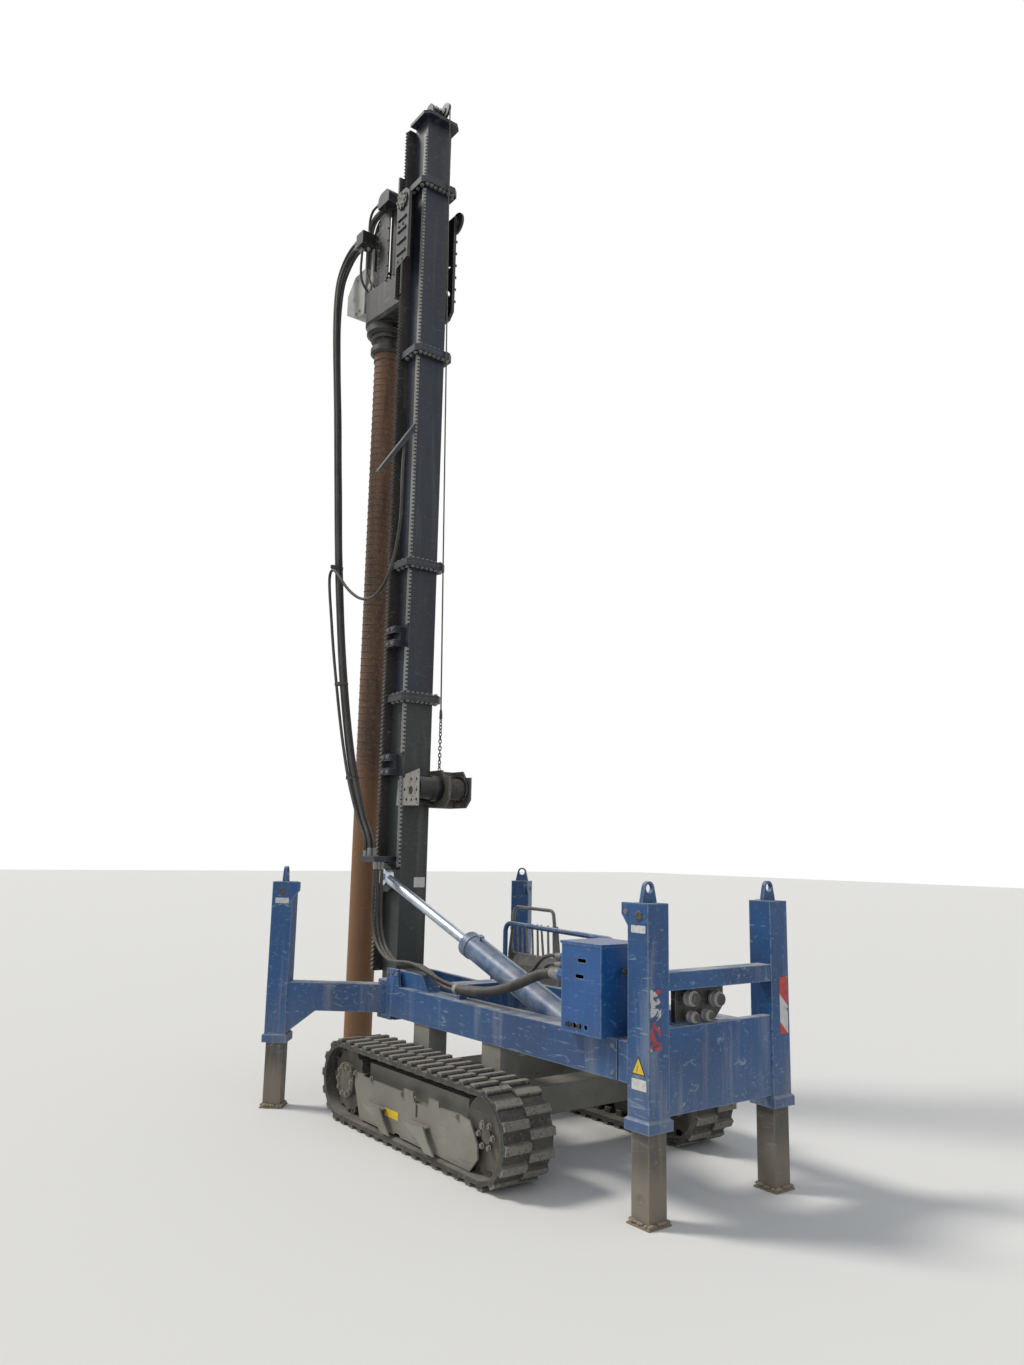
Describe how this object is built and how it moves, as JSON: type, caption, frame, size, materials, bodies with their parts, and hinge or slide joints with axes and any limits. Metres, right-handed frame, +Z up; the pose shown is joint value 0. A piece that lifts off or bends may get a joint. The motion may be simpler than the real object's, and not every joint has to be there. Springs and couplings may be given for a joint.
{
  "type": "crawler piling rig",
  "caption": "Compact crawler piling rig: rubber tracks, four jack legs, tall rack mast with a sliding rotary head and drill tube, raked by one cylinder.",
  "frame": {"origin": "centre of the bounding box at ground level, under the chassis", "axes": "+X forward to the mast and drill tube, +Y to the machine's left, +Z up along the mast"},
  "size_m": [4.256, 2.2856, 8.07],
  "materials": {
    "blue_paint": "scuffed semi-gloss",
    "cabinet_paint": "semi-gloss",
    "mast_paint": "satin, dusty",
    "lower_mast_paint": "satin, dusty",
    "head_paint": "oily satin",
    "cover_paint": "dusty satin",
    "track_steel": "worn, dusty",
    "leg_steel": "dull, clay-stained",
    "rack_steel": "oiled",
    "barrel_paint": "worn satin",
    "rod_chrome": "polished",
    "track_rubber": "dusty",
    "wheel_steel": "dusty",
    "tube_rust": "rusty",
    "lever_steel": "oily",
    "hose_rubber": "dusty"
  },
  "bodies": {
    "chassis": {"main_frame": "blue_paint", "rear_module": "blue_paint", "rear_post_left": "blue_paint", "rear_post_right": "blue_paint", "rear_crossbar": "blue_paint", "rear_panel": "blue_paint", "mast_foot": "blue_paint", "cylinder_foot": "blue_paint", "control_cabinet": "cabinet_paint", "lever_bank": "lever_steel", "guard_rail": "blue_paint", "port_block": "leg_steel", "undercarriage_beams": "track_steel", "track_left": "track_rubber", "track_right": "track_rubber", "track_frame_left": "track_steel", "track_frame_right": "track_steel", "sprockets": "wheel_steel", "idlers": "wheel_steel", "track_rollers": "wheel_steel", "hose_sheath": "hose_rubber", "hose_low_1": "hose_rubber", "hose_low_2": "hose_rubber"},
    "mast": {"mast_lower": "lower_mast_paint", "mast_section_1": "mast_paint", "mast_section_2": "mast_paint", "mast_section_3": "mast_paint", "mast_section_4": "mast_paint", "mast_cap": "mast_paint", "front_racks": "rack_steel", "mast_brackets": "mast_paint", "winch_frame": "leg_steel", "hose_drop_1": "hose_rubber", "hose_drop_2": "hose_rubber"},
    "carriage": {"carriage": "head_paint", "gearbox": "head_paint", "drive_motors": "head_paint", "head_cover": "cover_paint"},
    "spindle": {"spindle": "rack_steel", "drill_tube": "tube_rust"},
    "winch_drum": {"winch_drum": "wheel_steel"},
    "cylinder_barrel": {"cylinder_barrel": "barrel_paint"},
    "cylinder_rod": {"cylinder_rod": "rod_chrome"},
    "arm_left": {"arm_left": "blue_paint", "front_post_left": "blue_paint"},
    "arm_right": {"arm_right": "blue_paint", "front_post_right": "blue_paint"},
    "leg_rear_left": {"leg_rear_left": "leg_steel"},
    "leg_rear_right": {"leg_rear_right": "leg_steel"},
    "leg_front_left": {"leg_front_left": "leg_steel"},
    "leg_front_right": {"leg_front_right": "leg_steel"}
  },
  "joints": [
    {"name": "mast_rake", "type": "hinge", "parent": "chassis", "child": "mast", "pos_m": [0.834, 0, 0.75], "axis": [0, -1, 0], "range_deg": [-5, 75]},
    {"name": "cylinder_tilt", "type": "hinge", "parent": "chassis", "child": "cylinder_barrel", "pos_m": [-1.496, 0.205, 0.63], "axis": [0, -1, 0], "range_deg": [-7, 2]},
    {"name": "rod_slide", "type": "slide", "parent": "cylinder_barrel", "child": "cylinder_rod", "axis": [0.9427, 0, 0.3336], "range_m": [-0.92, 0.08]},
    {"name": "head_feed", "type": "slide", "parent": "mast", "child": "carriage", "axis": [0, 0, 1], "range_m": [-3.6, 0.2]},
    {"name": "spindle_spin", "type": "hinge", "parent": "carriage", "child": "spindle", "pos_m": [1.634, 0, 5.99], "axis": [0, 0, 1], "continuous": true},
    {"name": "winch_spin", "type": "hinge", "parent": "mast", "child": "winch_drum", "pos_m": [0.709, -0.205, 2.15], "axis": [0, 1, 0], "continuous": true},
    {"name": "jack_rear_left", "type": "slide", "parent": "chassis", "child": "leg_rear_left", "axis": [0, 0, -1], "range_m": [-0.3, 0.4]},
    {"name": "jack_rear_right", "type": "slide", "parent": "chassis", "child": "leg_rear_right", "axis": [0, 0, -1], "range_m": [-0.3, 0.4]},
    {"name": "jack_front_left", "type": "slide", "parent": "arm_left", "child": "leg_front_left", "axis": [0, 0, -1], "range_m": [-0.3, 0.4]},
    {"name": "jack_front_right", "type": "slide", "parent": "arm_right", "child": "leg_front_right", "axis": [0, 0, -1], "range_m": [-0.3, 0.4]},
    {"name": "arm_swing_left", "type": "hinge", "parent": "chassis", "child": "arm_left", "pos_m": [0.404, 0.465, 0.618], "axis": [0, 0, 1], "range_deg": [-50, 40]},
    {"name": "arm_swing_right", "type": "hinge", "parent": "chassis", "child": "arm_right", "pos_m": [0.404, -0.465, 0.618], "axis": [0, 0, -1], "range_deg": [-50, 40]}
  ],
  "couplings": [
    {"joint": "cylinder_tilt", "follows": "mast_rake", "ratio": -0.07365},
    {"joint": "rod_slide", "follows": "mast_rake", "m_per_rad": -0.67732}
  ]
}
